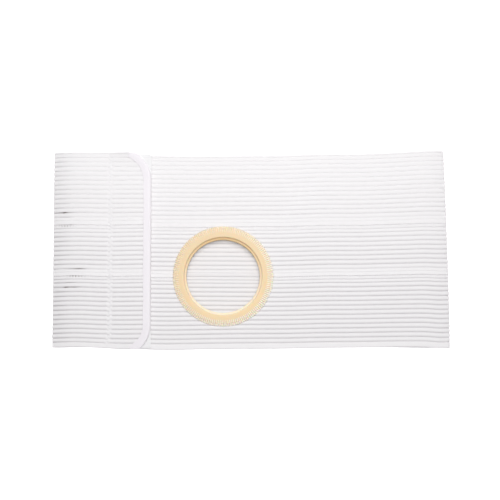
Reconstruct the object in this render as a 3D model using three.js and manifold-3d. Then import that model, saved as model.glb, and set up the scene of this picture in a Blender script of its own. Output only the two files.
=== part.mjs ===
// An ostomy support belt, fastened into a loop and laid flat with its front up.
// Three ribbed elastic bands are sewn edge to edge and run once round the loop. The end that
// comes round the left fold laps over the front as a flap, held by a hook tape under its bound
// edge. A moulded ring frames the hole for the pouch in the front layer.
// Millimetres. +X runs along the belt, +Y towards its upper edge and +Z up from the table. The
// origin is the centre of the belt's footprint, on the table.
import * as THREE from "three";
import { mergeVertices } from "three/addons/utils/BufferGeometryUtils.js";
import Module from "manifold-3d";

const wasm = await Module();
wasm.setup();

// The belt
const BELT_WIDTH = 203.2;
const LAID_LENGTH = 411.5; // fold to fold, along the lower edge
const WEB = 0.9; // the elastic's thickness in a groove
const RIB_HEIGHT = 0.55; // on each face
const BODY_GAP = 6.0; // between the two layers of the loop
const LEFT_FOLD_LEAN = 1.2; // how far each fold leans in at the upper edge
const RIGHT_FOLD_LEAN = 5.0;
const UNDERLAP = 33.5; // from the left fold to the end that lies under the flap
const CLEARANCE = 0.3; // between pieces that touch

// Each band's strips, from its upper edge down: edge ribs, full ribs, and the flat selvedge that is
// sewn over the next band. edgeRib and selvedge are widths, as shares of a full rib's width.
const GROOVE_SHARE = 0.22; // of a rib's width, from the groove to the rib's flat top
const BANDS = [
  { name: "upper_band", edgeRibs: 1, edgeRib: 1.95, ribs: 12, selvedge: 1.65, colour: 0xf4f2f3 },
  { name: "middle_band", edgeRibs: 2, edgeRib: 0.82, ribs: 8, selvedge: 1.55, colour: 0xf3f0f1 },
  { name: "lower_band", edgeRibs: 2, edgeRib: 0.77, ribs: 13, selvedge: 1.22, colour: 0xf1eff1 },
];

// The flap and what is sewn to it
const FLAP_REACH = 102.3; // from the left fold to the bound edge
const CORNER_RADIUS = 36.0;
const CORNER_INSET_SHARE = 0.83; // of that radius, from the long edge to the corner's centre
const BINDING_WIDTH = 8.0;
const BINDING_WALL = 0.6;
const BINDING_END_DEG = 66; // how far round the corner the binding runs
const TAPE_WIDTH = 50.8;
const TAPE_THICKNESS = 1.0;
const TAPE_MARGIN = 1.0; // from the flap's long edges to the tape's ends

// The ring round the pouch opening
const OPENING_RADIUS = 38.1;
const RING_WIDTH = 13.4; // from the opening to the rim
const FLAP_TO_RING = 23.4; // from the flap's bound edge to the rim
const CROWN_HEIGHT = 4.6; // above the elastic
const COLLAR_WALL = 2.2;
const RING_SIDES = 48;

// The ring's upper face, from the opening out. out is a share of the ring's width, up a share of
// the crown's height.
const RING_FACE = [
  { out: 0.0, up: 0.39 },
  { out: 0.14, up: 0.46 },
  { out: 0.22, up: 1.0 },
  { out: 0.34, up: 1.0 },
  { out: 0.92, up: 0.37 },
  { out: 1.0, up: 0.3 },
];

const FOLD_STEPS = 4;
const CORNER_STEPS = 8;

// Where the belt's long edges lie. along is a share of the laid length from the left fold, and
// in the flap's rows of the flap's reach. upper and lower are how far each edge stands out from
// half the belt's width, as a share of that width. rise is how far the flap has climbed from the
// front layer's height to its own, as it leaves the fold and passes over the hidden end.
const FRONT_ROWS = [
  { along: 0.25, upper: -0.017, lower: 0.009 },
  { along: 0.54, upper: -0.021, lower: 0.004 },
  { along: 0.72, upper: -0.0095, lower: 0.0005 },
  { along: 0.92, upper: 0.001, lower: -0.003 },
];
const BACK_ROWS = [
  { along: 0.72, upper: -0.013, lower: -0.002 },
  { along: 0.27, upper: -0.024, lower: 0.004 },
];
const FLAP_ROWS = [
  { along: 0.12, rise: 0.4, upper: 0.0012, lower: -0.0012 },
  { along: 0.22, rise: 0.82, upper: 0.001, lower: -0.001 },
  { along: 0.33, rise: 1.0, upper: 0.0, lower: 0.0 },
  { along: 0.77, rise: 1.0, upper: -0.0025, lower: 0.0085 },
];
const RIGHT_FOLD_EDGES = { upper: 0.01, lower: -0.001 };
const LEFT_FOLD_EDGES = { upper: 0.0015, lower: -0.0015 };
const UNDERLAP_EDGES = { upper: -0.017, lower: 0.0 };
const FLAP_END_EDGES = { upper: -0.0045, lower: 0.009 };

// Heights of the middle of each layer above the table
const ELASTIC = WEB + 2 * RIB_HEIGHT;
const BACK_Z = ELASTIC / 2;
const FRONT_Z = BACK_Z + ELASTIC + BODY_GAP;
const FRONT_TOP = FRONT_Z + ELASTIC / 2;
const TAPE_Z = FRONT_TOP + CLEARANCE;
const FLAP_UNDER = TAPE_Z + TAPE_THICKNESS + BINDING_WALL + 2 * CLEARANCE;
const FLAP_Z = FLAP_UNDER + ELASTIC / 2;
const FLAP_TOP = FLAP_UNDER + ELASTIC;
const FOLD_RADIUS = FRONT_TOP / 2;

const LEFT = -LAID_LENGTH / 2;
const RIGHT = LAID_LENGTH / 2;
const FLAP_END = LEFT + FLAP_REACH;
const CORNER_X = FLAP_END - CORNER_RADIUS;
const CORNER_INSET = CORNER_RADIUS * CORNER_INSET_SHARE;
const TRIM_ALLOWANCE = 2.0; // cloth past the flap's end, before it is cut to its outline

const UP = new THREE.Vector2(0, 1);
const DOWN = new THREE.Vector2(0, -1);

const edgeOf = (side, edges) => side * BELT_WIDTH * (0.5 + (side > 0 ? edges.upper : edges.lower));

// The belt's middle line, seen from its lower edge: a list of stations, each with its place, the
// direction that its outer face looks in, and where the long edges lie there.
function station(x, z, outward, edges) {
  return { x, z, outward, edges };
}

// Half a turn from the front layer's height down to the back's, on the side that side points to
function fold(centreX, side, edges) {
  const middleZ = (FRONT_Z + BACK_Z) / 2;
  const radius = FOLD_RADIUS - ELASTIC / 2;
  return Array.from({ length: FOLD_STEPS + 1 }, (_, i) => {
    const turn = Math.PI / 2 - (side * i * Math.PI) / FOLD_STEPS;
    const outward = new THREE.Vector2(Math.cos(turn), Math.sin(turn));
    return station(centreX + radius * outward.x, middleZ + radius * outward.y, outward, edges);
  });
}

function beltStations() {
  const flapHeight = (rise) => THREE.MathUtils.lerp(FRONT_Z, FLAP_Z, rise);
  return [
    station(LEFT + UNDERLAP, FRONT_Z, UP, UNDERLAP_EDGES),
    ...FRONT_ROWS.map((row) => station(LEFT + row.along * LAID_LENGTH, FRONT_Z, UP, row)),
    ...fold(RIGHT - FOLD_RADIUS, 1, RIGHT_FOLD_EDGES),
    ...BACK_ROWS.map((row) => station(LEFT + row.along * LAID_LENGTH, BACK_Z, DOWN, row)),
    ...fold(LEFT + FOLD_RADIUS, -1, LEFT_FOLD_EDGES).reverse(),
    ...FLAP_ROWS.map((row) => station(LEFT + row.along * FLAP_REACH, flapHeight(row.rise), UP, row)),
    station(FLAP_END + TRIM_ALLOWANCE, FLAP_Z, UP, FLAP_END_EDGES),
  ];
}

// Where a point of the cloth lies: across is measured from the belt's middle line towards its
// upper edge, and out from the middle of the cloth's thickness.
function place({ x, z, outward, edges }, across, out) {
  const share = 0.5 + across / BELT_WIDTH;
  const y = THREE.MathUtils.lerp(edgeOf(-1, edges), edgeOf(1, edges), share);
  const lean = THREE.MathUtils.lerp(LEFT_FOLD_LEAN, -RIGHT_FOLD_LEAN, (x - LEFT) / LAID_LENGTH);
  return new THREE.Vector3(x + lean * share + outward.x * out, y, z + outward.y * out);
}

// The widths across one band, from its upper edge down, as shares of a full rib's width
function ribShares({ edgeRibs, edgeRib, ribs, selvedge }) {
  return [...Array(edgeRibs).fill(edgeRib), ...Array(ribs).fill(1), selvedge];
}

const total = (widths) => widths.reduce((sum, width) => sum + width, 0);
const seamGaps = CLEARANCE * (BANDS.length - 1);
const fullRib = (BELT_WIDTH - seamGaps) / total(BANDS.flatMap(ribShares));
const ribWidths = (band) => ribShares(band).map((share) => share * fullRib);
const bandWidth = (band) => total(ribWidths(band));

function polygon(corners) {
  return new THREE.Shape(corners.map(([x, y]) => new THREE.Vector2(x, y)));
}

// A band cut across: flat-topped ribs on the outer face, crests on the inner one, and a groove
// between each two on both faces.
function bandSection(band, upperEdge) {
  const crest = ELASTIC / 2;
  const groove = WEB / 2;
  const outer = [];
  const inner = [];
  let y = upperEdge;
  ribWidths(band).forEach((width) => {
    const shoulder = width * GROOVE_SHARE;
    outer.push([y, groove], [y - shoulder, crest], [y - width + shoulder, crest]);
    inner.push([y, -groove], [y - width / 2, -crest]);
    y -= width;
  });
  outer.push([y, groove]);
  inner.push([y, -groove]);
  return polygon([...outer, ...inner.reverse()]);
}

// The section is drawn out straight, one step for each station, and each ring of its points is
// then laid on its station.
function bandAlongBelt(section, stations) {
  const lengths = stations.length - 1;
  const size = { depth: lengths, steps: lengths, bevelEnabled: false };
  const strip = new THREE.ExtrudeGeometry(section, size);
  const points = strip.getAttribute("position");
  for (let i = 0; i < points.count; i++) {
    const spot = place(stations[Math.round(points.getZ(i))], points.getX(i), points.getY(i));
    points.setXYZ(i, spot.x, spot.y, spot.z);
  }
  return strip;
}

// A closed mesh as a solid that can be cut
function toSolid(geometry) {
  const bare = geometry.clone();
  bare.deleteAttribute("normal");
  bare.deleteAttribute("uv");
  const merged = mergeVertices(bare, 1e-4);
  const vertProperties = merged.getAttribute("position").array;
  const triVerts = new Uint32Array(merged.index.array);
  return new wasm.Manifold(new wasm.Mesh({ numProp: 3, vertProperties, triVerts }));
}

function toGeometry(solid) {
  const mesh = solid.getMesh();
  const geometry = new THREE.BufferGeometry();
  geometry.setAttribute("position", new THREE.BufferAttribute(mesh.vertProperties, mesh.numProp));
  geometry.setIndex(new THREE.BufferAttribute(mesh.triVerts, 1));
  const faceted = geometry.toNonIndexed();
  faceted.computeVertexNormals();
  return faceted;
}

function plate(shape, fromZ, toZ) {
  const size = { depth: toZ - fromZ, bevelEnabled: false, curveSegments: CORNER_STEPS };
  return toSolid(new THREE.ExtrudeGeometry(shape, size).translate(0, 0, fromZ));
}

// The flap's outline, stood in by inset: straight along its end, with a round corner at each side
// whose centre lies CORNER_INSET in from the long edge.
const upperCornerY = edgeOf(1, FLAP_END_EDGES) - CORNER_INSET;
const lowerCornerY = edgeOf(-1, FLAP_END_EDGES) + CORNER_INSET;

function flapOutline(inset) {
  const radius = CORNER_RADIUS - inset;
  const outline = new THREE.Shape();
  outline.moveTo(LEFT, lowerCornerY - radius);
  outline.lineTo(CORNER_X, lowerCornerY - radius);
  outline.absarc(CORNER_X, lowerCornerY, radius, -Math.PI / 2, 0, false);
  outline.absarc(CORNER_X, upperCornerY, radius, 0, Math.PI / 2, false);
  outline.lineTo(LEFT, upperCornerY + radius);
  outline.closePath();
  return outline;
}

// The strip between two outlines, from one end of the binding to the other
function bindingStrip() {
  const end = THREE.MathUtils.degToRad(BINDING_END_DEG);
  const inner = CORNER_RADIUS - BINDING_WIDTH;
  const strip = new THREE.Shape();
  strip.absarc(CORNER_X, lowerCornerY, CORNER_RADIUS, -end, 0, false);
  strip.absarc(CORNER_X, upperCornerY, CORNER_RADIUS, 0, end, false);
  strip.absarc(CORNER_X, upperCornerY, inner, end, 0, true);
  strip.absarc(CORNER_X, lowerCornerY, inner, 0, -end, true);
  strip.closePath();
  return strip;
}

// The flap between its long edges, over a length of it
function flapArea(fromX, toX, margin) {
  const upper = edgeOf(1, FLAP_END_EDGES) - margin;
  const lower = edgeOf(-1, FLAP_END_EDGES) + margin;
  return polygon([
    [fromX, lower],
    [toX, lower],
    [toX, upper],
    [fromX, upper],
  ]);
}

// What is cut from the cloth, so that the flap ends just inside its binding
function flapTrim() {
  const insideBinding = BINDING_WALL + CLEARANCE;
  const below = FLAP_UNDER - CLEARANCE / 2;
  const above = FLAP_TOP + CLEARANCE;
  const around = flapArea(CORNER_X, FLAP_END + BELT_WIDTH, -BELT_WIDTH);
  const kept = plate(flapOutline(insideBinding), below - CLEARANCE, above + CLEARANCE);
  return plate(around, below, above).subtract(kept);
}

// The binding is folded round the flap's end, with a leaf above it and one below.
function makeBinding() {
  const leaf = BINDING_WALL + CLEARANCE;
  const tape = plate(bindingStrip(), FLAP_UNDER - leaf, FLAP_TOP + leaf);
  const channel = plate(flapOutline(BINDING_WALL), FLAP_UNDER - CLEARANCE, FLAP_TOP + CLEARANCE);
  const between = plate(flapArea(CORNER_X, FLAP_END, 0), 0, FLAP_TOP + ELASTIC);
  return toGeometry(tape.subtract(channel).intersect(between));
}

function makeHookTape() {
  const area = flapArea(FLAP_END - TAPE_WIDTH, FLAP_END, TAPE_MARGIN);
  return toGeometry(plate(area, TAPE_Z, TAPE_Z + TAPE_THICKNESS));
}

// The ring sits on the seam between the middle and the lower band.
const rimRadius = OPENING_RADIUS + RING_WIDTH;
const collarRadius = OPENING_RADIUS + COLLAR_WALL;
const ringX = FLAP_END + FLAP_TO_RING + rimRadius;
const ringAcross = -BELT_WIDTH / 2 + bandWidth(BANDS[2]) + CLEARANCE / 2;
const underRing = station(ringX, FRONT_Z, UP, FRONT_ROWS[1]);
const ringY = place(underRing, ringAcross, 0).y;

// Its profile runs from the foot of the collar up its outside, along the underside to the rim,
// back over the face and down the opening's wall. Heights are above the elastic's outer face.
function makeRing() {
  const face = RING_FACE.map(({ out, up }) => [OPENING_RADIUS + out * RING_WIDTH, up * CROWN_HEIGHT]);
  const profile = [
    [OPENING_RADIUS, -ELASTIC],
    [collarRadius, -ELASTIC],
    [collarRadius, CLEARANCE],
    [rimRadius, CLEARANCE],
    ...face.reverse(),
    [OPENING_RADIUS, -ELASTIC],
  ].map(([radius, height]) => new THREE.Vector2(radius, height));
  return new THREE.LatheGeometry(profile, RING_SIDES).rotateX(Math.PI / 2);
}

// The hole that the collar passes through, in the front layer alone
function pouchHole() {
  const radius = collarRadius + CLEARANCE;
  const hole = new THREE.CylinderGeometry(radius, radius, ELASTIC + BODY_GAP, RING_SIDES);
  return toSolid(hole.rotateX(Math.PI / 2).translate(ringX, ringY, FRONT_Z));
}

function makeMesh(name, geometry, color, roughness) {
  const material = new THREE.MeshStandardMaterial({ color, roughness, metalness: 0 });
  const mesh = new THREE.Mesh(geometry, material);
  mesh.name = name;
  return mesh;
}

const belt = new THREE.Group();

const stations = beltStations();
const trim = flapTrim();
const hole = pouchHole();
let upperEdge = BELT_WIDTH / 2;
for (const band of BANDS) {
  const strip = bandAlongBelt(bandSection(band, upperEdge), stations);
  const cloth = toSolid(strip).subtract(trim).subtract(hole);
  belt.add(makeMesh(band.name, toGeometry(cloth), band.colour, 0.9));
  upperEdge -= bandWidth(band) + CLEARANCE;
}

belt.add(makeMesh("flap_binding", makeBinding(), 0xf6f1f5, 0.8));
belt.add(makeMesh("hook_tape", makeHookTape(), 0xf5f5f5, 0.8));

const ring = makeMesh("pouch_ring", makeRing(), 0xf3d7a9, 0.45);
ring.position.set(ringX, ringY, FRONT_TOP);
belt.add(ring);

// The footprint's centre is the origin.
const footprint = new THREE.Box3().setFromObject(belt);
const middle = footprint.getCenter(new THREE.Vector3());
belt.position.set(-middle.x, -middle.y, -footprint.min.z);

export default belt;
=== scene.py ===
# %% [markdown]
# # A ribbed support belt, fastened and laid flat
# The belt is one long strip of white ribbed elastic that runs once round the body. Laid down, it
# is a back layer, a front layer and a short flap over the front at the left, with a moulded ring
# round the pouch opening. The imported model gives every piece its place. Here each of its plain
# solids is replaced by a finer mesh of the same size, with a finish of its own.

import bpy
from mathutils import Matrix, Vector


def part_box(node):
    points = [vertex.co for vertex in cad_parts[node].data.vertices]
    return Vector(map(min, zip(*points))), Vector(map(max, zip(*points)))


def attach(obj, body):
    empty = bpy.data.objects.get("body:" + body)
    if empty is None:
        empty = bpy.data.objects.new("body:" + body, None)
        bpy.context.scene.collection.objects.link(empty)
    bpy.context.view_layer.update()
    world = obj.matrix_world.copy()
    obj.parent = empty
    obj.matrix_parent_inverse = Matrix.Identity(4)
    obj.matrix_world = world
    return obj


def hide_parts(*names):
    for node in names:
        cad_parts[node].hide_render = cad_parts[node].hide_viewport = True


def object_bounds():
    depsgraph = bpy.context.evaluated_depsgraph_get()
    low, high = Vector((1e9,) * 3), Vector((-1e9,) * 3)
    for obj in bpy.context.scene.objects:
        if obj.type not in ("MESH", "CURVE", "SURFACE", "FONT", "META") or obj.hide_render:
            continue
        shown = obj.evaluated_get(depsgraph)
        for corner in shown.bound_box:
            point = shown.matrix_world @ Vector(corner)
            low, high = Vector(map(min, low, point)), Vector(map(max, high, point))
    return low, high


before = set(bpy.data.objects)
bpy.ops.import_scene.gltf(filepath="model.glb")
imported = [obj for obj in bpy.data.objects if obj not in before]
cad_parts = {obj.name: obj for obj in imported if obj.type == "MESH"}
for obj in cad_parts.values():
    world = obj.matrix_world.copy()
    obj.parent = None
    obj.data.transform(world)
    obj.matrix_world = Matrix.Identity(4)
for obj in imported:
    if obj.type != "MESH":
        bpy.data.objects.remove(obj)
cad_box = [list(corner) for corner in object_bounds()]
print("solids' box, metres:", cad_box)

# %% What the rest is made with
import math

import bpy
import numpy as np
from mathutils import Vector

MM = 0.001

# %% [markdown]
# ## Places taken from the frame
# A sewer works from a few lines: where the folds are, how high each layer lies, where the flap
# ends and where the hole is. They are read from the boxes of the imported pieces, in millimetres,
# so that the finer pieces land on the plain ones. Only the make-up of the cloth is stated anew.

# %% Places and thicknesses
def corners(node):
    low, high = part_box(node)
    return np.array(low) / MM, np.array(high) / MM


tape_low, tape_high = corners("hook_tape")
binding_low, binding_high = corners("flap_binding")
ring_low, ring_high = corners("pouch_ring")

belt_width = 203.2
elastic = 2.0
groove_wall = 0.5
rib_height = (elastic - groove_wall) / 2
clearance = 0.3

left = cad_box[0][0] / MM
right = cad_box[1][0] / MM
laid_length = right - left
back_z = elastic / 2
front_z = tape_low[2] - clearance - elastic / 2
flap_z = (binding_low[2] + binding_high[2]) / 2
flap_end = binding_high[0]
ring_nudge = np.array([-0.3, 0.6])
ring_x, ring_y = (ring_low + ring_high)[:2] / 2 + ring_nudge
print(f"layers at {back_z:.1f}, {front_z:.1f} and {flap_z:.1f} mm, ring at {ring_x:.1f}, {ring_y:.1f} mm")

# %% [markdown]
# ## The long edges
# The real belt isn't a ruler-straight strip: its elastic is drawn in beside the ring and flares
# at the folds. A few rows tell how far each long edge stands out from half the belt's width, and
# a smooth curve is drawn through them. Straight lines between rows would show as corners in the
# outline, so each stretch is a cubic that shares its slope with the next.

# %% Edges of each layer
# along: share of the laid length from the left fold. upper, lower: shares of the belt's width.
FRONT_EDGES = np.array([
    (0.00, -0.012, -0.006),
    (0.17, -0.014, -0.001),
    (0.24, -0.0165, 0.0098),
    (0.40, -0.0195, 0.0085),
    (0.50, -0.0175, 0.0065),
    (0.58, -0.0165, 0.0055),
    (0.70, -0.0082, 0.001),
    (0.765, -0.0088, 0.0),
    (0.885, -0.0002, -0.0032),
    (0.94, 0.007, -0.0022),
    (0.975, 0.0094, 0.0025),
    (1.00, 0.010, 0.0005),
])
BACK_EDGES = np.array([
    (0.00, 0.0015, -0.0015),
    (0.20, -0.018, -0.007),
    (0.50, -0.024, -0.003),
    (0.80, -0.013, -0.004),
    (1.00, 0.010, 0.0005),
])
# along: share of the flap's reach from the left fold
FLAP_EDGES = np.array([
    (0.00, 0.0015, -0.0015),
    (0.28, -0.0007, -0.0017),
    (0.53, -0.0022, 0.0039),
    (0.77, -0.0012, 0.0094),
    (1.00, -0.0020, 0.0095),
])
left_fold_lean = 0.4
right_fold_lean = 4.8
lean_power = 1.5


def curve_through(rows, column, at):
    places, values = rows[:, 0], rows[:, column]
    slopes = np.gradient(values, places)
    k = np.clip(np.searchsorted(places, at) - 1, 0, len(places) - 2)
    gap = places[k + 1] - places[k]
    t = np.clip((at - places[k]) / gap, 0, 1)
    from_ends = values[k] * (1 + 2 * t) * (1 - t) ** 2 + values[k + 1] * t * t * (3 - 2 * t)
    from_slopes = gap * (slopes[k] * t * (1 - t) ** 2 - slopes[k + 1] * t * t * (1 - t))
    return from_ends + from_slopes


# %% [markdown]
# ## The way round the loop
# Seen from its lower edge, the strip starts under the flap, runs to the right fold, comes back
# along the table and climbs round the left fold into the flap. A soft fold isn't half a circle:
# the cloth eases into it, so each fold is one Bezier curve, and another carries the flap up over
# the hidden end. The stations along this way are close where the cloth bends and wide elsewhere.

# %% Stations
right_fold_in = 10.0
right_sag = 1.0
right_sag_in = 36.0
right_fold_slope = 0.14
left_fold_in = 8.0
left_fold_slope = 0.40
left_fold_top = front_z - 0.9
ramp_end = 42.0
hidden_end = 33.5
flap_outline_inset = 0.9
fold_fullness = 0.75
past_ring = 60.0
front_step, plain_step, back_step, flap_step = 2.6, 3.6, 5.0, 1.7


def bezier(start, first_handle, last_handle, end, steps):
    t = np.linspace(0, 1, steps + 1)[:, None]
    ends = (1 - t) ** 3 * np.array(start) + t**3 * np.array(end)
    handles = 3 * t * (1 - t) ** 2 * np.array(first_handle) + 3 * t * t * (1 - t) * np.array(last_handle)
    return ends + handles


def straight(from_x, to_x, z, step):
    count = max(2, round(abs(to_x - from_x) / step) + 1)
    return np.column_stack([np.linspace(from_x, to_x, count), np.full(count, z)])


def way_round():
    right_reach = (right_fold_in - elastic / 2) / fold_fullness
    left_reach = (left_fold_in - elastic / 2) / fold_fullness
    right_x = right - right_fold_in
    right_z = front_z - right_sag
    sag_x = right - right_sag_in
    sag_third = (right_x - sag_x) / 3
    left_x = left + left_fold_in
    ramp_x = left + ramp_end
    ramp_third = (ramp_x - left_x) / 3
    legs = [
        straight(left + hidden_end, ring_x + past_ring, front_z, front_step),
        straight(ring_x + past_ring, sag_x, front_z, plain_step),
        bezier((sag_x, front_z), (sag_x + sag_third, front_z),
               (right_x - sag_third, right_z + sag_third * right_fold_slope), (right_x, right_z), 9),
        bezier((right_x, right_z), (right_x + right_reach, right_z - right_reach * right_fold_slope),
               (right_x + right_reach, back_z), (right_x, back_z), 18),
        straight(right_x, left_x, back_z, back_step),
        bezier((left_x, back_z), (left_x - left_reach, back_z),
               (left_x - left_reach, left_fold_top - left_reach * left_fold_slope),
               (left_x, left_fold_top), 18),
        bezier((left_x, left_fold_top), (left_x + ramp_third, left_fold_top + left_fold_slope * ramp_third),
               (ramp_x - ramp_third, flap_z), (ramp_x, flap_z), 16),
        straight(ramp_x, flap_end - flap_outline_inset, flap_z, flap_step),
    ]
    return np.vstack([legs[0]] + [leg[1:] for leg in legs[1:]])


way = way_round()
steps = np.diff(way, axis=0)
way_s = np.concatenate([[0], np.cumsum(np.hypot(steps[:, 0], steps[:, 1]))])
travel = np.gradient(way, way_s, axis=0)
travel /= np.linalg.norm(travel, axis=1)[:, None]
way_x, way_z = way.T
out_x, out_z = -travel[:, 1], travel[:, 0]

right_tip = int(np.argmax(way_x))
left_tip = int(np.argmin(way_x))
index = np.arange(len(way_s))
share_along = (way_x - left) / laid_length
flap_share = (way_x - left) / (flap_end - left)


def edge_along(column):
    front = curve_through(FRONT_EDGES, column, share_along)
    back = curve_through(BACK_EDGES, column, share_along)
    flap = curve_through(FLAP_EDGES, column, flap_share)
    return np.where(index < right_tip, front, np.where(index < left_tip, back, flap))


upper_edge = belt_width * (0.5 + edge_along(1))
lower_edge = -belt_width * (0.5 + edge_along(2))
print(f"{len(way_s)} stations, strip {way_s[-1]:.0f} mm long")

# %% [markdown]
# ## Laying the cloth
# One function answers every question about place: given a distance along the strip, a distance
# across it and a height off the middle of the cloth, it says where that spot lies. Bands, seams
# and stitches all use it, so they can't drift apart. Cloth that lies by itself is never quite
# flat, so the function adds long, low waves, which die away where the ring or binding holds it.
# It also bows the rows down a little towards the left, and lets the back layer lie slack, so that
# it rises under the pouch opening.

# %% The laid spot
upper_radius, upper_inset = 36.0, 29.9
lower_radius, lower_inset = 32.0, 25.0
lower_corner_y = binding_low[1] + lower_inset
upper_corner_y = binding_high[1] - upper_inset
trim_start = way_s[-1] - upper_radius - 8.0
wave_lengths = (47.0, 71.0, 113.0, 168.0)
wave_height = 0.2
drift = 0.1
left_bow = 1.3
slack_rise = 4.4
slack_reach = 52.0
# from the first distance on the cloth begins to lie free, and from the second it is free
ring_hold = (53, 80)
binding_hold = (6, 40)
hidden_hold = (60, 120)
long_edge_hold = (0, 0.06)
# where the bow fades: shares of the width, and distances from the left fold
bow_across = (0.45, 1.05)
bow_along = (45, 95)
rng = np.random.default_rng(7)
wave_turns = rng.uniform(0, 2 * math.pi, (3, len(wave_lengths)))
wave_slants = rng.uniform(-0.5, 0.5, (3, len(wave_lengths)))


def waves(kind, along, across):
    total = 0
    for length, turn, slant in zip(wave_lengths, wave_turns[kind], wave_slants[kind]):
        total = total + np.sin(2 * math.pi * (along + slant * across) / length + turn)
    return total / len(wave_lengths)


def ease(value, start, end):
    t = np.clip((value - start) / (end - start), 0, 1)
    return t * t * (3 - 2 * t)


def flap_outline_x(y):
    radius = np.where(y < 0, lower_radius, upper_radius)
    past = np.maximum(np.where(y < 0, lower_corner_y - y, y - upper_corner_y), 0)
    return flap_end - radius + np.sqrt(np.maximum((radius - flap_outline_inset) ** 2 - past**2, 0))


def along_way(s, column):
    return np.interp(s, way_s, column)


def lay(s, across, out):
    share = np.clip(0.5 + across / belt_width, 0, 1)
    x = along_way(s, way_x)
    bottom = along_way(s, lower_edge)
    y = bottom + (along_way(s, upper_edge) - bottom) * share
    on_left = 1 - (x - left) / laid_length
    x = x + on_left * left_fold_lean * share - (1 - on_left) * right_fold_lean * share**lean_power
    last_x = flap_end - flap_outline_inset + left_fold_lean * (1 - (flap_end - left) / laid_length) * share
    to_trim = np.clip((s - trim_start) / (way_s[-1] - trim_start), 0, 1)
    x = x + to_trim * (flap_outline_x(y) - last_x)
    from_ring = np.hypot(x - ring_x, y - ring_y)
    loose = ease(from_ring, *ring_hold) * ease(way_s[-1] - s, *binding_hold) * ease(s, *hidden_hold)
    inside = ease(share, *long_edge_hold) * ease(1 - share, *long_edge_hold)
    bowed = ease(share, 0, 0.05) * (1 - ease(share, *bow_across)) * (1 - ease(x - left, *bow_along))
    y = y + drift * inside * waves(0, s, across) - left_bow * bowed
    lift = wave_height * loose * waves(1, s, across)
    rise = slack_rise * np.exp(-((from_ring / slack_reach) ** 2))
    upright = along_way(s, out_z)
    z = along_way(s, way_z) + upright * out + np.maximum(upright, 0) * lift + np.maximum(-upright, 0) * rise
    return x + along_way(s, out_x) * out, y, z


# %% [markdown]
# ## From a grid to cloth
# A band could be an extruded section cut with booleans, but those leave ragged edges where the
# round hole crosses fine ribs. It is instead two grids of points, one for each face, joined only
# round their rims. Cells inside the hole are simply not made, and points just inside it are slid
# out to the circle. Each point also keeps its place on the cloth, which the finish follows later.

# %% Mesh builders
sharp_angle = math.radians(62)


def make_mesh(name, points, faces, cloth_places=None):
    mesh = bpy.data.meshes.new(name)
    mesh.from_pydata((points * MM).tolist(), [], faces)
    if cloth_places is not None:
        layer = mesh.attributes.new("cloth", "FLOAT_VECTOR", "POINT")
        layer.data.foreach_set("vector", np.asarray(cloth_places, dtype=np.float32).ravel())
    mesh.validate()
    mesh.shade_smooth()
    mesh.set_sharp_from_angle(angle=sharp_angle)
    piece = bpy.data.objects.new(name, mesh)
    bpy.context.collection.objects.link(piece)
    return piece


def walled_faces(kept):
    rows, columns = kept.shape[0] + 1, kept.shape[1] + 1
    inner = rows * columns
    i, j = np.nonzero(kept)
    a = i * columns + j
    b = a + columns
    c = b + 1
    d = a + 1
    quads = [np.column_stack([a, b, c, d]), np.column_stack([d, c, b, a]) + inner]
    ringed = np.pad(kept, 1)
    for (di, dj), start, end in [((0, -1), a, b), ((1, 0), b, c), ((0, 1), c, d), ((-1, 0), d, a)]:
        bare = ~ringed[i + 1 + di, j + 1 + dj]
        start, end = start[bare], end[bare]
        quads.append(np.column_stack([end, start, start + inner, end + inner]))
    return np.vstack(quads)


def thick_sheet(name, outer, inner, kept, outer_places, inner_places):
    faces = walled_faces(kept)
    points = np.vstack([outer.reshape(-1, 3), inner.reshape(-1, 3)])
    places = np.vstack([outer_places.reshape(-1, 3), inner_places.reshape(-1, 3)])
    used, renumbered = np.unique(faces, return_inverse=True)
    faces = renumbered.reshape(faces.shape)
    print(f"{name}: {2 * len(faces)} triangles")
    return make_mesh(name, points[used], faces.tolist(), places[used])


# %% [markdown]
# ## The ribs across each band
# The elastic is knitted in ribs about 4.8 mm wide, with narrower ones below each seam. The belt's
# upper edge and each band's lower edge are flat selvedges, and the two at the seams are lapped
# over the next band and sewn down. Going down from the upper edge, each strip has a width, a
# height, a roundness and a floor, which is how shallow the grooves beside it are. Points crowd
# towards the grooves, because that is where the surface turns fastest.

# %% Strips of each band
# width: in full ribs. tall: share of a full rib's height. round: 2 is a barrel, more is flatter.
# floor: share of the strip's height that is left in the grooves beside it.
RIB = {"width": 1.0, "tall": 1.0, "round": 2.0, "inner_tall": 1.0, "inner_round": 2.0, "floor": 0.0}
NARROW_RIB = {"tall": 0.8, "round": 2.2, "inner_tall": 0.62, "inner_round": 6.0, "floor": 0.1}
FLAT = {"tall": 0.72, "round": 7.0, "inner_tall": 0.62, "inner_round": 7.0, "floor": 0.55}
cuts_per_strip = 8


def strip_of(kind, width):
    return {**kind, "width": width}


BANDS = {
    "upper_band": [strip_of({**FLAT, "floor": 0.0}, 0.42), strip_of({**FLAT, "floor": 0.3}, 0.78)]
    + [RIB] * 13 + [strip_of(FLAT, 0.68), strip_of(FLAT, 0.90)],
    "middle_band": [strip_of(NARROW_RIB, 0.79)] * 2 + [RIB] * 8
    + [strip_of(FLAT, 0.68), strip_of(FLAT, 0.78)],
    "lower_band": [strip_of(NARROW_RIB, 0.73)] * 2 + [RIB] * 13 + [strip_of({**FLAT, "floor": 0.1}, 1.27)],
}
seam_gaps = clearance * (len(BANDS) - 1)
full_rib = (belt_width - seam_gaps) / sum(strip["width"] for strips in BANDS.values() for strip in strips)
lap_outer, lap_inner, lap_rounding = 0.80, 0.02, 0.3
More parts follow.
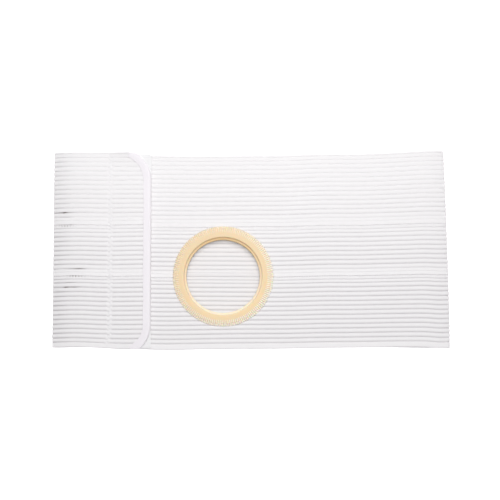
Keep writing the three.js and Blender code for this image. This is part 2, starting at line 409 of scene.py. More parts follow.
# shares of the last strip over which its outer face rises to the lap and its inner face thins
lap_rises, lap_thins = (0.0, 0.35), (0.15, 0.5)
tuck_outer, tuck_inner, tuck_width = -0.12, -0.92, 2.4
tuck_step_outer, tuck_step_inner = 0.15, -0.5
rib_fullness = 1.6
crest_shift = 0.84
selvedge_crest = 0.7


def barrel(u, roundness):
    return (1 - np.abs(2 * u**crest_shift - 1) ** roundness) ** (1 / rib_fullness)


def band_section(strips, top, tucked, lapped):
    rows = []
    y = top
    if tucked:
        rows.append((y + tuck_width, tuck_outer, tuck_inner, selvedge_crest))
        rows.append((y + clearance + 0.1, tuck_outer, tuck_inner, selvedge_crest))
        rows.append((y + clearance - 0.05, tuck_step_outer, tuck_step_inner, selvedge_crest))
    for number, strip in enumerate(strips):
        width = strip["width"] * full_rib
        u = (1 - np.cos(np.pi * np.arange(cuts_per_strip) / cuts_per_strip)) / 2
        crest = strip["floor"] + (1 - strip["floor"]) * barrel(u, strip["round"])
        outer = groove_wall / 2 + rib_height * strip["tall"] * crest
        inner = -groove_wall / 2 - rib_height * strip["inner_tall"] * barrel(u, strip["inner_round"])
        if lapped and number == len(strips) - 1:
            outer = np.maximum(outer, lap_outer * ease(u, *lap_rises))
            inner = np.minimum(lap_inner, inner * (1 - ease(u, *lap_thins)))
        rows += list(zip(y - u * width, outer, inner, crest))
        y -= width
    plain_end = (groove_wall / 2, -groove_wall / 2)
    end_outer, end_inner = (lap_outer - lap_rounding, lap_inner) if lapped else plain_end
    rows.append((y, end_outer, end_inner, selvedge_crest))
    return np.array(rows)[::-1], y


grooves, seam_places = [], []
groove = belt_width / 2
for strips in BANDS.values():
    for strip in strips:
        groove -= strip["width"] * full_rib
        grooves.append(groove)
    seam_places.append(groove)
    groove -= clearance
print(f"a full rib is {full_rib:.2f} mm wide, {len(grooves)} strips")

# %% [markdown]
# ## Creases and pulled threads
# Three things break up the even ribs on the real belt: slits where grooves gape beside the left
# fold, two puckers along the upper seam with a faint crease below one of them, and the line of
# stitches that holds the hook tape under the flap. Slits, puckers and crease are soft dents in
# the cloth, moved together on both faces so that the wall keeps its thickness. The slits also
# carry a dark painted shadow into the finish. Along the stitches the ribs are pressed flatter,
# and each jogs a little where the thread pulls it, and the painted groove shade is lifted there.
# A bump map would do for a front view, but not for raking light.

# %% Dents in the cloth
# x: middle of the slit, in mm. groove: roughly how far across it is; it moves to the nearest
# groove. length, width: its spread. gape: how open it is, and how dark its painted shadow, from 0 to 1.
FLAP_SLITS = [
    {"x": -194.0, "groove": 39.0, "length": 10.0, "width": 0.5, "gape": 0.42},
    {"x": -193.0, "groove": 39.0, "length": 1.5, "width": 0.6, "gape": 0.75},
    {"x": -190.0, "groove": 34.0, "length": 8.0, "width": 0.45, "gape": 0.32},
    {"x": -193.0, "groove": 27.0, "length": 7.5, "width": 0.4, "gape": 0.22},
    {"x": -186.0, "groove": 27.0, "length": 0.9, "width": 0.7, "gape": 0.9},
    {"x": -177.0, "groove": -19.5, "length": 6.5, "width": 0.5, "gape": 0.75},
    {"x": -187.0, "groove": -19.5, "length": 6.0, "width": 0.45, "gape": 0.3},
    {"x": -183.0, "groove": -39.0, "length": 6.0, "width": 0.45, "gape": 0.5},
    {"x": -191.0, "groove": -39.0, "length": 2.2, "width": 0.5, "gape": 0.85},
    {"x": -187.0, "groove": -34.0, "length": 7.0, "width": 0.4, "gape": 0.25},
]
# across: how far across the pucker is, in mm. depth: how far it sinks. The last row is the crease.
FRONT_PUCKERS = [
    {"x": -73.0, "across": 24.6, "length": 8.0, "width": 2.2, "depth": 0.6},
    {"x": 46.5, "across": 24.0, "length": 5.5, "width": 3.0, "depth": 0.7},
    {"x": 53.0, "across": -6.0, "length": 2.2, "width": 30.0, "depth": 0.25},
]
slit_depth = 0.5
# how far a slit pushes the colour towards its painted shadow
slit_shadow_mark = 2.0
tape_seam_x = -145.6
tape_seam_half_width = 3.0
tape_seam_sway, tape_sway_length = 0.35, 9.5
tape_seam_hook, tape_hook_zone = 5.0, (80, 100)
seam_flattening = 0.45
seam_jog = 0.75
# how far in from the belt's long edges the jog begins, and where it is full
jog_hold = (2, 8)
# share of the painted groove shade lifted along the tape's stitches
seam_shade_lift = 0.3
flap_start_s = way_s[left_tip]


def tape_seam_s(across):
    sway = tape_seam_sway * np.sin(across / tape_sway_length)
    hook = tape_seam_hook * ease(-across, *tape_hook_zone) ** 2
    return way_s[-1] - (flap_end - flap_outline_inset - tape_seam_x) + sway - hook


def near(spot, x, across, across_middle):
    along_part = (x - spot["x"]) / spot["length"]
    across_part = (across - across_middle) / spot["width"]
    return np.exp(-(along_part**2) - across_part**2)


def slits(s, across, x):
    opened = 0
    for slit in FLAP_SLITS:
        groove = min(grooves, key=lambda place: abs(place - slit["groove"]))
        opened = opened + slit["gape"] * near(slit, x, across, groove)
    return np.minimum(opened, 1) * (s > flap_start_s)


def tape_zone(s, across):
    from_seam = (s - tape_seam_s(across)) / tape_seam_half_width
    return (s > flap_start_s) * np.exp(-(from_seam**4))


def dent(s, across, x):
    puckered = 0
    for pucker in FRONT_PUCKERS:
        puckered = puckered + pucker["depth"] * near(pucker, x, across, pucker["across"])
    return puckered * (s < way_s[right_tip]) + slit_depth * slits(s, across, x)


def flattening(s, across):
    return 1 - seam_flattening * tape_zone(s, across)


def jog(s, across):
    inside = ease(belt_width / 2 - np.abs(across), *jog_hold)
    turn = math.pi * (s - tape_seam_s(across)) / tape_seam_half_width
    return seam_jog * inside * tape_zone(s, across) * np.sin(turn)


# %% [markdown]
# ## The three elastic bands
# On the real belt these are three rolls of elastic of standard widths, sewn edge to edge before
# the hole is cut. Each is made by running its section along the way round the loop. The hole is
# left out of the front layer only, and the ring's flange covers its edge.

# %% Bands
hole_radius = 40.6
fine_reach, fine_stations = 4.2, 13
beside_seam = tape_seam_s(0.0) + np.linspace(-fine_reach, fine_reach, fine_stations)
clear_of_seam = np.abs(way_s - tape_seam_s(0.0)) > fine_reach + 0.4
stations = np.sort(np.concatenate([way_s[clear_of_seam], beside_seam]))


def lay_face(section, column, rib_column):
    s = stations[:, None] + 0 * section[None, :, 0]
    across = section[None, :, 0] + 0 * s
    web = np.sign(section[0, column] + section[len(section) // 2, column]) * groove_wall / 2
    out = web + (section[None, :, column] - web) * flattening(s, across)
    x, y, _ = lay(s, across, 0 * s)
    rib = section[None, :, rib_column]
    # the rib place also steers painted shade: it is lifted along the tape's stitches, and pushed below zero
    # in the slits for their painted shadow
    rib = rib + (1 - rib) * seam_shade_lift * tape_zone(s, across) - slit_shadow_mark * slits(s, across, x)
    x, y, z = lay(s, across, out - dent(s, across, x))
    places = np.stack([s, across, rib], axis=2)
    return np.stack([x, y + jog(s, across), z], axis=2), places


def slide_out_of_hole(points, on_front):
    dx = points[..., 0] - ring_x
    dy = points[..., 1] - ring_y
    radius = np.hypot(dx, dy)
    inside = on_front & (radius < hole_radius)
    stretch = np.where(inside, hole_radius / np.maximum(radius, 0.01), 1)
    moved = points.copy()
    moved[..., 0] = ring_x + dx * stretch
    moved[..., 1] = ring_y + dy * stretch
    return moved, inside


bands = {}
top = belt_width / 2
for name, strips in BANDS.items():
    first, last = name == "upper_band", name == "lower_band"
    section, bottom = band_section(strips, top, not first, not last)
    on_front = (stations < way_s[right_tip])[:, None]
    outer, outer_places = lay_face(section, 1, 3)
    inner, inner_places = lay_face(section, 2, 3)
    outer, in_hole = slide_out_of_hole(outer, on_front)
    inner, _ = slide_out_of_hole(inner, on_front)
    kept = ~(in_hole[:-1, :-1] & in_hole[1:, :-1] & in_hole[:-1, 1:] & in_hole[1:, 1:])
    bands[name] = thick_sheet(f"{name}_cloth", outer, inner, kept, outer_places, inner_places)
    band_width = section[-1, 0] - section[0, 0]
    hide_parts(name)
    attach(bands[name], "root")
    band_width * MM
    top = bottom - clearance

# %% [markdown]
# ## Threads
# A row of zigzag stitches joins each pair of bands, and another holds the hook tape to the flap.
# A thread could be a curve with a bevel, but a mesh tube swept in code keeps its faces even and
# needs no conversion. Each stitch dives a little at its two ends, as real thread does where the
# needle went through.

# %% Sewing
thread_radius = 0.17
tape_thread_radius = 0.24
thread_sides = 6
thread_sink = 0.3
dive_power = 6


def tube(path, up, radius, sides):
    forward = np.gradient(path, axis=0)
    forward /= np.linalg.norm(forward, axis=1)[:, None]
    side = np.cross(forward, up)
    side /= np.linalg.norm(side, axis=1)[:, None]
    lift = np.cross(side, forward)
    turns = np.arange(sides) * 2 * math.pi / sides
    rings = (path[:, None] + radius * np.cos(turns)[None, :, None] * side[:, None]
             + radius * np.sin(turns)[None, :, None] * lift[:, None])
    k = np.arange(len(path) - 1)[:, None] * sides
    a = k + np.arange(sides)[None, :]
    b = k + (np.arange(sides)[None, :] + 1) % sides
    faces = np.stack([a, b, b + sides, a + sides], axis=2).reshape(-1, 4).tolist()
    faces.append(list(range(sides))[::-1])
    faces.append([(len(path) - 1) * sides + n for n in range(sides)])
    return rings.reshape(-1, 3), faces


def sew(name, runs, radius=thread_radius):
    points, faces, count = [], [], 0
    for run, up in runs:
        ring_points, ring_faces = tube(run, up, radius, thread_sides)
        points.append(ring_points)
        faces += [[n + count for n in face] for face in ring_faces]
        count += len(ring_points)
    print(f"{name}: {len(runs)} runs, {2 * len(faces)} triangles")
    piece = make_mesh(name, np.vstack(points), faces)
    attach(piece, "root")
    return piece


def run_along(s, across, out):
    x, y, _ = lay(s, across, 0 * s)
    path = np.column_stack(lay(s, across, out - thread_sink * dent(s, across, x)))
    up = np.column_stack([along_way(s, out_x), 0 * s, along_way(s, out_z)])
    return path, up


zigzag_step = 1.3
zigzag_half_width = 1.45
zigzag_below_seam = 1.0
zigzag_points = 4
zigzag_start, zigzag_stop = 6, 8
seam_thread_out = 1.0
stitch_dive = 0.35
back_press = 0.2
under_ring = 50


def zigzag(seam):
    count = int((way_s[-1] - zigzag_start - zigzag_stop) / zigzag_step) * zigzag_points
    stitch = np.arange(count) / zigzag_points
    s = zigzag_start + stitch * zigzag_step
    swing = 2 * np.abs((stitch % 2) - 1) - 1
    across = seam - zigzag_below_seam + zigzag_half_width * swing
    pressed = 1 - back_press * (along_way(s, out_z) < -0.3)
    dive = stitch_dive * np.abs(swing) ** dive_power
    path, up = run_along(s, across, seam_thread_out * pressed - dive)
    from_ring = np.hypot(path[:, 0] - ring_x, path[:, 1] - ring_y)
    hidden = (s < way_s[right_tip]) & (from_ring < under_ring)
    breaks = np.nonzero(np.diff(hidden.astype(int)))[0] + 1
    pieces = [np.arange(count)[part] for part in np.split(np.arange(count), breaks)]
    return [(path[part], up[part]) for part in pieces if not hidden[part[0]] and len(part) > 3]


sewn_seams = seam_places[:-1]
seam_threads = [sew(f"seam_thread_{number}", zigzag(seam)) for number, seam in enumerate(sewn_seams, 1)]

tape_stitch = 1.5
tape_stitch_margin = 6
tape_stitch_inset = 0.8
tape_thread_out = 0.82
tape_stitch_dive = 0.3


def tape_zigzag():
    count = int((belt_width - 2 * tape_stitch_margin) / tape_stitch) * zigzag_points
    stitch = np.arange(count) / zigzag_points
    across = stitch * tape_stitch - belt_width / 2 + tape_stitch_margin
    swing = 2 * np.abs((stitch % 2) - 1) - 1
    s = tape_seam_s(across) + (tape_seam_half_width - tape_stitch_inset) * swing
    return run_along(s, across, tape_thread_out - tape_stitch_dive * np.abs(swing) ** dive_power)


tape_thread = sew("tape_thread", [tape_zigzag()], tape_thread_radius)

# %% [markdown]
# ## The binding
# A smooth tape is folded over the flap's cut end and stitched through, so that it has a leaf on
# each face and a round edge between them. It is a U-shaped section swept round the flap's
# outline. Towards each end the tape runs off over the belt's long edge, so the part of the
# section that would overhang the edge is drawn in.

# %% Flap binding
binding_width = 8.0
binding_half = (binding_high[2] - binding_low[2]) / 2
binding_wall = 0.6
binding_end = math.radians(66)
binding_run = 240
edge_wander = 0.25
stitch_pucker, pucker_pitch = 0.05, 2.6


def binding_section():
    inner_half = binding_half - binding_wall
    turn = np.linspace(math.pi / 2, 3 * math.pi / 2, 13)
    round_out = np.column_stack([binding_half + binding_half * np.cos(turn), binding_half * np.sin(turn)])
    round_in = np.column_stack([binding_half + inner_half * np.cos(turn), inner_half * np.sin(turn)])[::-1]
    leaf = np.array([
        (8.0, 1.12), (8.03, 1.32), (7.85, 1.5), (7.3, 1.62), (6.9, 1.58), (6.6, 1.5), (6.3, 1.6),
        (5.6, 1.74), (4.4, 1.84), (3.2, 1.89),
    ])
    lower_leaf = leaf[::-1] * (1, -1)
    inside = np.array([(2.6, inner_half), (5.0, 1.2), (7.6, 1.06)])
    return np.vstack([leaf, round_out, lower_leaf, inside[::-1] * (1, -1), round_in, inside])


def outline_path():
    rows = []
    turn = np.linspace(-binding_end, 0, 36)
    for t in turn:
        x = flap_end - lower_radius * (1 - math.cos(t))
        rows.append((x, lower_corner_y + lower_radius * math.sin(t), t, lower_radius, lower_inset))
    for y in np.linspace(lower_corner_y, upper_corner_y, 120)[1:-1]:
        rows.append((flap_end, y, 0.0, upper_radius, upper_inset))
    for t in turn[::-1]:
        x = flap_end - upper_radius * (1 - math.cos(t))
        rows.append((x, upper_corner_y - upper_radius * math.sin(t), -t, upper_radius, upper_inset))
    return np.array(rows)


def make_binding():
    section = binding_section()
    path = outline_path()
    turn, radius, inset = path[:, 2:].T
    steep = np.maximum(np.abs(np.sin(turn)), 0.01)
    drawn_in = np.maximum(radius - inset / steep, 0)
    distance = np.linspace(0, 1, len(path)) * binding_run
    depth = drawn_in[:, None] + section[None, :, 0] * (1 - drawn_in / binding_width)[:, None]
    leaf_share = ease(section[None, :, 0], 4, 8)
    wander = edge_wander * np.sin(distance / 5.1) * np.sin(distance / 17 + 1)
    depth = depth + leaf_share * wander[:, None]
    stitches = stitch_pucker * np.sin(distance * 2 * math.pi / pucker_pitch)
    pucker = stitches[:, None] * ease(section[None, :, 0], 5, 6.5)
    x = path[:, 0, None] - depth * np.cos(turn)[:, None]
    y = path[:, 1, None] - depth * np.sin(turn)[:, None]
    z = flap_z + section[None, :, 1] * (1 + pucker)
    points = np.stack([x, y, z], axis=2)
    sides = len(section)
    k = np.arange(len(path) - 1)[:, None] * sides
    a = k + np.arange(sides)[None, :]
    b = k + (np.arange(sides)[None, :] + 1) % sides
    faces = np.stack([a, b, b + sides, a + sides], axis=2).reshape(-1, 4).tolist()
    faces.append(list(range(sides))[::-1])
    faces.append([(len(path) - 1) * sides + n for n in range(sides)])
    places = np.stack([distance[:, None] + 0 * z, section[None, :, 0] + 0 * z, 0 * z], axis=2)
    return make_mesh("binding_tape", points.reshape(-1, 3), faces, places.reshape(-1, 3))


binding = make_binding()
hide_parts("flap_binding")
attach(binding, "root")
print(f"binding: {len(binding.data.polygons)} faces")

# %% [markdown]
# ## The hook tape
# Under the flap's end lies a smooth woven strip whose hooks grip the front. Only its square
# corners show, past the flap's round ones. It is a thin sheet with eased corners.

# %% Hook tape
tape_corner = 1.6
tape_grid_step = 1.6
tape_edge_drop, tape_edge_reach = 0.3, 1.2


def make_hook_tape():
    ys = np.linspace(tape_low[1], tape_high[1], int((tape_high[1] - tape_low[1]) / tape_grid_step))
    share = np.linspace(0, 1, int((tape_high[0] - tape_low[0]) / tape_grid_step))
    edge = np.minimum(ys - tape_low[1], tape_high[1] - ys)
    shy = tape_corner - np.sqrt(np.maximum(tape_corner**2 - np.maximum(tape_corner - edge, 0) ** 2, 0))
    x = tape_low[0] + shy[None, :] + share[:, None] * (tape_high[0] - tape_low[0] - 2 * shy[None, :])
    y = ys[None, :] + 0 * x
    rim = np.minimum(np.minimum(share, 1 - share)[:, None] * (tape_high[0] - tape_low[0]), edge[None, :])
    rounding = tape_edge_drop * (1 - ease(rim, 0, tape_edge_reach))
    outer = np.stack([x, y, tape_high[2] - rounding], axis=2)
    inner = np.stack([x, y, tape_low[2] + rounding], axis=2)
    places = np.stack([x, y, 0 * x], axis=2)
    kept = np.ones((x.shape[0] - 1, x.shape[1] - 1), dtype=bool)
    return thick_sheet("hook_strip", outer, inner, kept, places, places)


hook_strip = make_hook_tape()
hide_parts("hook_tape")
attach(hook_strip, "root")

# %% [markdown]
# ## The pouch ring
# The ring is moulded in a soft plastic: a low lip inside, a raised crown and a flange that slopes
# out to a ribbed rim, where it is stitched to the elastic. A lathe would give the plain shape.
# Here the same profile is turned in code, so that about 150 fine radial ridges can swell out of
# the flange near the rim.

# %% Ring
# radius and height in mm, the height above the elastic, from the foot of the opening's wall up
RING_PROFILE = np.array([
    (37.8, -2.0), (37.8, -1.0), (37.8, 0.4), (37.82, 1.3), (37.95, 1.62), (38.35, 1.82), (38.95, 1.95),
    (39.5, 2.03), (39.83, 2.14), (40.0, 2.4), (40.1, 3.0), (40.22, 3.7), (40.42, 4.2), (40.75, 4.48),
    (41.2, 4.59), (41.8, 4.6), (42.4, 4.56), (43.0, 4.49), (43.8, 4.36), (44.6, 4.2), (45.3, 4.04),
    (45.9, 3.9), (46.4, 3.77), (47.0, 3.58), (47.7, 3.33), (48.4, 3.02), (49.1, 2.66), (49.8, 2.25),
    (50.5, 1.79), (51.1, 1.38), (51.6, 0.98), (51.75, 0.6), (51.65, 0.3), (51.2, 0.16), (48.5, 0.16),
    (44.0, 0.16), (40.5, 0.16), (40.3, 0.0), (40.3, -1.0), (40.3, -2.0),
])
ridge_count = 150
steps_per_ridge = 8
ridge_height = 0.26
# radii between which the ridges begin, and between which they swell to twice their height
ridges_begin, ridges_swell = (45.2, 46.6), (49.6, 51.0)
underside = 0.44


def make_ring():
    turn = np.arange(ridge_count * steps_per_ridge) * 2 * math.pi / (ridge_count * steps_per_ridge)
    radius, height = RING_PROFILE.T
    tangent = np.gradient(RING_PROFILE, axis=0)
    tangent /= np.linalg.norm(tangent, axis=1)[:, None]
    on_flange = ease(radius, *ridges_begin) * (1 + ease(radius, *ridges_swell)) * (height > underside)
    swell = ridge_height * on_flange[None, :] * np.cos(turn * ridge_count)[:, None]
    r = radius[None, :] - swell * tangent[None, :, 1]
    h = height[None, :] + swell * tangent[None, :, 0]
    points = np.stack([
        ring_x + r * np.cos(turn)[:, None],
        ring_y + r * np.sin(turn)[:, None],
        front_z + elastic / 2 + h,
    ], axis=2)
    around, sides = len(turn), len(radius)
    i = np.arange(around)[:, None]
    j = np.arange(sides)[None, :]
    a = i * sides + j
    b = (i + 1) % around * sides + j
    c = (i + 1) % around * sides + (j + 1) % sides
    d = i * sides + (j + 1) % sides
    faces = np.stack([a, b, c, d], axis=2).reshape(-1, 4).tolist()
    places = np.stack([turn[:, None] * ridge_count + 0 * r, radius[None, :] + 0 * r, h], axis=2)
    return make_mesh("ring_moulding", points.reshape(-1, 3), faces, places.reshape(-1, 3))


ring = make_ring()
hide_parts("pouch_ring")
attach(ring, "root")
print(f"ring: {2 * len(ring.data.polygons)} triangles")

# %% [markdown]
# ## Writing finishes as sums
# A material is a web of small nodes, which is slow to read. A little class stands for one socket
# of that web and knows how to add, take away and multiply, so that a pattern can be written the
# way it would be said. Colours go through Mix nodes, because a Math node would turn them grey.

# %% Shader words
class Wire:
    def __init__(self, finish, socket):
        self.finish = finish
        self.socket = socket

    def sum(self, operation, first, second=0.0):
        return self.finish.node("ShaderNodeMath", {"operation": operation}, {0: first, 1: second})

    def __add__(self, other):
        return self.sum("ADD", self, other)

    def __radd__(self, other):
        return self.sum("ADD", other, self)

    def __sub__(self, other):
        return self.sum("SUBTRACT", self, other)

    def __rsub__(self, other):
        return self.sum("SUBTRACT", other, self)

    def __mul__(self, other):
        return self.sum("MULTIPLY", self, other)

    def __rmul__(self, other):
        return self.sum("MULTIPLY", other, self)

    def sine(self):
        return self.sum("SINE", self)


class Finish:
    def __init__(self, name, **constants):
        self.material = bpy.data.materials.new(name)
        self.material.use_nodes = True
        self.tree = self.material.node_tree
        self.shader = self.tree.nodes["Principled BSDF"]
        for socket, value in constants.items():
            self.shader.inputs[socket.replace("_", " ")].default_value = value

    def node(self, kind, settings=None, inputs=None, output=0):
        made = self.tree.nodes.new(kind)
        for name, value in (settings or {}).items():
            setattr(made, name, value)
        for key, value in (inputs or {}).items():
            if isinstance(value, Wire):
                self.tree.links.new(value.socket, made.inputs[key])
            else:
                made.inputs[key].default_value = value
        return Wire(self, made.outputs[output])

    def places(self):
        place = self.node("ShaderNodeAttribute", {"attribute_name": "cloth"}, output="Vector")
        parts = [self.node("ShaderNodeSeparateXYZ", inputs={0: place}, output=n) for n in range(3)]
        return place, *parts

    def noise(self, place, scale, detail=2.0, roughness=0.5):
        inputs = {"Vector": place, "Scale": scale, "Detail": detail, "Roughness": roughness}
        return self.node("ShaderNodeTexNoise", inputs=inputs, output="Fac")

    def stretched(self, place, amounts):
        return self.node("ShaderNodeVectorMath", {"operation": "MULTIPLY"}, {0: place, 1: amounts})

    def rise(self, value, start, end):
        inputs = {"Value": value, "From Min": start, "From Max": end}
        return self.node("ShaderNodeMapRange", {"interpolation_type": "SMOOTHSTEP"}, inputs)

    def near(self, value, middle, reach):
        distance = self.node("ShaderNodeMath", {"operation": "ABSOLUTE"}, {0: value - float(middle)})
        return self.rise(distance, reach, 0.0)

    def mix(self, mask, first, second):
        return self.node("ShaderNodeMix", {"data_type": "RGBA"}, {0: mask, 6: first, 7: second}, output=2)

    def colour(self, wire):
        self.tree.links.new(wire.socket, self.shader.inputs["Base Color"])

    def roughness(self, wire):
        self.tree.links.new(wire.socket, self.shader.inputs["Roughness"])

    def relief(self, height, distance, strength=1.0):
        inputs = {"Strength": strength, "Distance": distance, "Height": height}
        bump = self.node("ShaderNodeBump", inputs=inputs)
        self.tree.links.new(bump.socket, self.shader.inputs["Normal"])


# %% [markdown]
# ## The elastic's finish
# The ribs are knitted over rubber threads: fine courses run across each rib, about one to the
# millimetre, with a little fuzz. The mesh carries the ribs, so the finish adds only the courses
# and the yarn as relief. It also paints shade into the grooves' colour: more towards the lower
# edge, and most beside the left fold, where the cloth is stretched open and its needle holes
# show as painted shadow. It is white, with a faint lilac cast.

# %% Ribbed elastic
turn_full = 2 * math.pi
course_pitch = 1.15
yarn_pitch = 0.62
elastic_crest = (0.90, 0.885, 0.895, 1)
# colour of the painted shade in the grooves
groove_shade_colour = (0.56, 0.535, 0.55, 1)
# colour of the painted shadow in gaping slits and needle holes
gap_shadow_colour = (0.12, 0.095, 0.07, 1)
elastic_aged = (0.885, 0.865, 0.87, 1)
fold_reach = 26.0
hole_pitch = 3.1
nip_pitch = 3.4
# across places where the painted groove shade is least and where it is most
light_grooves_y, dark_grooves_y = 115.0, -45.0

ribbed = Finish("ribbed_elastic", Roughness=0.88, Sheen_Weight=0.12, Sheen_Roughness=0.5)
place, along, across, rib = ribbed.places()
wander = ribbed.noise(place, 0.35)
courses = (along * (turn_full / course_pitch) + wander * 2.5).sine()
yarns = (across * (turn_full / yarn_pitch) + wander * 3.0).sine()
fuzz = ribbed.noise(place, 3.2, 4.0, 0.65)
ribbed.relief(courses * 0.5 + yarns * 0.22 * rib + fuzz * 0.9, 0.00016)
# painted shade: the grooves darken towards the lower edge and most beside the left fold, and the cloth beside
# the fold is painted a little darker all over
near_fold = ribbed.near(along, flap_start_s, fold_reach)
painted_groove_shade = ribbed.rise(across, light_grooves_y, dark_grooves_y) * 0.72 + 0.16 + near_fold * 0.5
shade = (1 - rib) * painted_groove_shade + near_fold * 0.06 + (courses * -0.07) * rib + (fuzz - 0.5) * 0.25
cloud = ribbed.noise(ribbed.stretched(place, (0.012, 0.03, 0.0)), 1.0, 3.0)
worn = ribbed.mix(cloud, elastic_crest, elastic_aged)
cloth = ribbed.mix(shade, worn, groove_shade_colour)

# needle holes beside the left fold, where the cloth is stretched open; their darkness is painted shadow
needle = (along * (turn_full / hole_pitch)).sine() * 0.6 + 0.4
upper_row = ribbed.near(across, seam_places[0] - 1.3, 1.5) * ribbed.near(along, flap_start_s + 14, 14.0)
lower_row = ribbed.near(across, seam_places[1] - 0.6, 1.2) * ribbed.near(along, flap_start_s + 26, 15.0)
cloth = ribbed.mix(needle * (upper_row * 0.7 + lower_row * 1.1), cloth, gap_shadow_colour)

# the painted groove shade is lifted in small slanting nips, where the tape's stitches pull the ribs up
seam_s = float(tape_seam_s(0.0))
nips = ((across + along) * (turn_full / nip_pitch)).sine() * 0.5 + 0.5
# painted light: the nips take back the painted groove shade
stitched = ribbed.near(along, seam_s, 4.0) * nips
cloth = ribbed.mix(stitched * 0.4, cloth, worn)
# where the slits push the rib place below zero, the colour turns to painted shadow
ribbed.colour(ribbed.mix(rib * -1.0, cloth, gap_shadow_colour))
for piece in bands.values():
    piece.data.materials.append(ribbed.material)

# %% [markdown]
# ## Thread, binding and hook tape
# The thread is bright polyester with a slight shine and a twist. The binding is a flat woven
# tape: a very fine cross grain and a soft sheen. The hook tape's back is a plain close weave,
# duller than the binding.

# %% Thread
thread_dark, thread_light = (0.80, 0.79, 0.80, 1), (0.93, 0.92, 0.93, 1)
thread = Finish("sewing_thread", Roughness=0.55, Specular_IOR_Level=0.4)
ground = thread.node("ShaderNodeTexCoord", output="Object")
twist = thread.noise(ground, 2600.0, 2.0)
thread.relief(twist, 0.00008)
thread.colour(thread.mix(twist, thread_dark, thread_light))
for piece in seam_threads + [tape_thread]:
    piece.data.materials.append(thread.material)

# %% Binding tape
grain_pitch = 0.55
binding_light, binding_dark = (0.90, 0.87, 0.90, 1), (0.84, 0.80, 0.835, 1)
satin = Finish("binding_tape", Roughness=0.62, Sheen_Weight=0.25, Sheen_Roughness=0.35)
place, along, across, _ = satin.places()
warp = (along * (turn_full / grain_pitch)).sine()
weft = (across * (turn_full / grain_pitch)).sine()
slub = satin.noise(satin.stretched(place, (0.35, 2.5, 1.0)), 1.0, 3.0)
satin.relief(warp * weft * 0.4 + slub, 0.00012)
satin.colour(satin.mix(slub * 0.8 + warp * 0.06, binding_light, binding_dark))
binding.data.materials.append(satin.material)

# %% Hook tape
weave_pitch = 0.8
tape_light, tape_dark = (0.98, 0.975, 0.98, 1), (0.96, 0.95, 0.96, 1)
woven = Finish("hook_tape_weave", Roughness=0.8)
place, along, across, _ = woven.places()
warp = (along * (turn_full / weave_pitch)).sine()
weft = (across * (turn_full / weave_pitch)).sine()
lint = woven.noise(place, 1.4, 4.0)
woven.relief(warp * weft + lint * 0.6, 0.00015)
woven.colour(woven.mix(warp * weft * 0.15 + lint * 0.7, tape_light, tape_dark))
hook_strip.data.materials.append(woven.material)

# %% [markdown]
# ## The ring's plastic
# The ring is an ivory plastic, warm and half matt. Light gets a little way into it, so shaded
# sides glow orange instead of going grey. Light and shade are also painted into its colour: a
# painted highlight on each ridge of the rim and painted shade between them, strongest on the
# lower right, painted light on the rim's edge and painted shade on the ring's upper side. The
# lip is painted deep orange as shade above and creamy as light below.

# %% Ivory plastic
ivory_pale, ivory_deep = (0.87, 0.675, 0.425, 1), (0.85, 0.645, 0.385, 1)
# painted shade for the ring's upper side
ivory_shaded_upper = (0.775, 0.615, 0.40, 1)
# the lip's painted light below and painted shade above
lip_lit_cream, lip_shaded_orange = (0.90, 0.80, 0.62, 1), (0.76, 0.54, 0.30, 1)
# painted shade between the rim's ridges, painted highlight on them, and painted light on the rim's edge
ridge_gap_shade, ridge_highlight, lit_rim_edge = (0.76, 0.61, 0.42, 1), (0.98, 0.93, 0.82, 1), (0.98, 0.95, 0.88, 1)
light_goes_in = (0.004, 0.0016, 0.0006)
# radii between which the rim's finish begins, the low lip's begins, and the rim's edge is painted lighter
rim_begins, lip_begins, edge_lightens = (44.8, 46.8), (41.2, 40.0), (49.4, 50.8)

ivory = Finish("ivory_plastic", Roughness=0.55, Specular_IOR_Level=0.2)
ivory.shader.inputs["Subsurface Weight"].default_value = 0.25
ivory.shader.inputs["Subsurface Radius"].default_value = light_goes_in
_, ridge_turn, ring_radius, _ = ivory.places()
ridge_turn_wave = (ridge_turn + math.pi / 2).sine()
near_rim = ivory.rise(ring_radius, *rim_begins)
low_lip = ivory.rise(ring_radius, *lip_begins)
edge_light_mask = ivory.rise(ring_radius, *edge_lightens)
upper_side = (ridge_turn * (1 / ridge_count)).sine() * 0.5 + 0.5
mottle = ivory.noise(ivory.node("ShaderNodeTexCoord", output="Object"), 260.0, 4.0)
body = ivory.mix(mottle * 0.6, ivory_pale, ivory_deep)
# painted shade: the upper side of the ring is darker
body = ivory.mix(upper_side * 0.8, body, ivory_shaded_upper)
# painted light and shade on the lip: cream below, deep orange above
lip = ivory.mix(upper_side, lip_lit_cream, lip_shaded_orange)
body = ivory.mix(low_lip, body, lip)
# painted light: the ridge highlights are strongest on the ring's lower right
rim_lit_side = (ridge_turn * (1 / ridge_count) + 2.4).sine() * 0.3 + 0.6
# painted highlight on each ridge, painted shade between them
rim = ivory.mix(ridge_turn_wave * 0.5 + 0.5, ridge_gap_shade, ridge_highlight)
# painted light on the rim's edge
rim = ivory.mix(edge_light_mask * 0.7, rim, lit_rim_edge)
ivory.colour(ivory.mix(near_rim * rim_lit_side, body, rim))
ivory.roughness(mottle * 0.12 + 0.5)
ivory.relief(mottle, 0.00005, 0.6)
ring.data.materials.append(ivory.material)

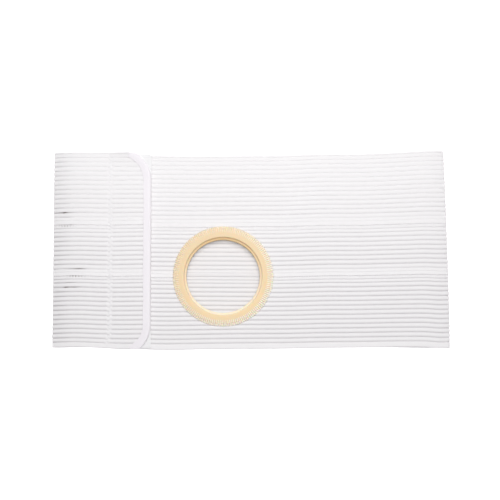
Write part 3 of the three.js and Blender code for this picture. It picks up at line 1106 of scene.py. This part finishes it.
# %% [markdown]
# ## The table, the light and the camera
# The picture is a plain product shot: white ground, a broad soft light high overhead, a smaller
# one from the belt's upper side and a bright surround, seen almost from straight above. The small
# light stands near enough that the lower ribs get less of it, which is what models them.

# %% Table
table_size = 6.0
table_drop = 0.0003
mesh = bpy.data.meshes.new("table")
half = table_size / 2
mesh.from_pydata([(-half, -half, 0), (half, -half, 0), (half, half, 0), (-half, half, 0)], [], [(0, 1, 2, 3)])
table = bpy.data.objects.new("table", mesh)
bpy.context.collection.objects.link(table)
table.location.z = -table_drop
paper = Finish("white_paper", Base_Color=(0.9, 0.9, 0.9, 1), Roughness=0.9)
paper.shader.inputs["Emission Color"].default_value = (1, 1, 1, 1)
paper.shader.inputs["Emission Strength"].default_value = 0.8
mesh.materials.append(paper.material)

# %% Light
surround_strength = 0.32
world = bpy.data.worlds.new("surround")
world.use_nodes = True
world.node_tree.nodes["Background"].inputs["Color"].default_value = (0.98, 0.985, 1.0, 1)
world.node_tree.nodes["Background"].inputs["Strength"].default_value = surround_strength
bpy.context.scene.world = world


def soft_light(name, place, aim, width, height, power):
    light = bpy.data.lights.new(name, "AREA")
    light.shape = "RECTANGLE"
    light.size = width
    light.size_y = height
    light.energy = power
    lamp = bpy.data.objects.new(name, light)
    lamp.location = place
    lamp.rotation_euler = (Vector(aim) - Vector(place)).to_track_quat("-Z", "Y").to_euler()
    bpy.context.collection.objects.link(lamp)
    return lamp


soft_light("key", (0.02, 0.30, 0.64), (0.0, 0.06, 0), 0.5, 0.4, 2.05)
soft_light("overhead", (0.0, 0.0, 3.0), (0.0, 0.0, 0), 0.8, 0.8, 42.5)

# %% Camera
camera_elevation = math.radians(84)
camera_distance = 2.2
camera_lens = 153.0
aim = Vector((-0.0011, -0.0004, 0.008))
camera_data = bpy.data.cameras.new("camera")
camera_data.lens = camera_lens
camera = bpy.data.objects.new("camera", camera_data)
camera.location = aim + camera_distance * Vector((0, -math.cos(camera_elevation), math.sin(camera_elevation)))
camera.rotation_euler = (aim - camera.location).to_track_quat("-Z", "Y").to_euler()
bpy.context.collection.objects.link(camera)
bpy.context.scene.camera = camera
bpy.context.scene.view_settings.view_transform = "Standard"
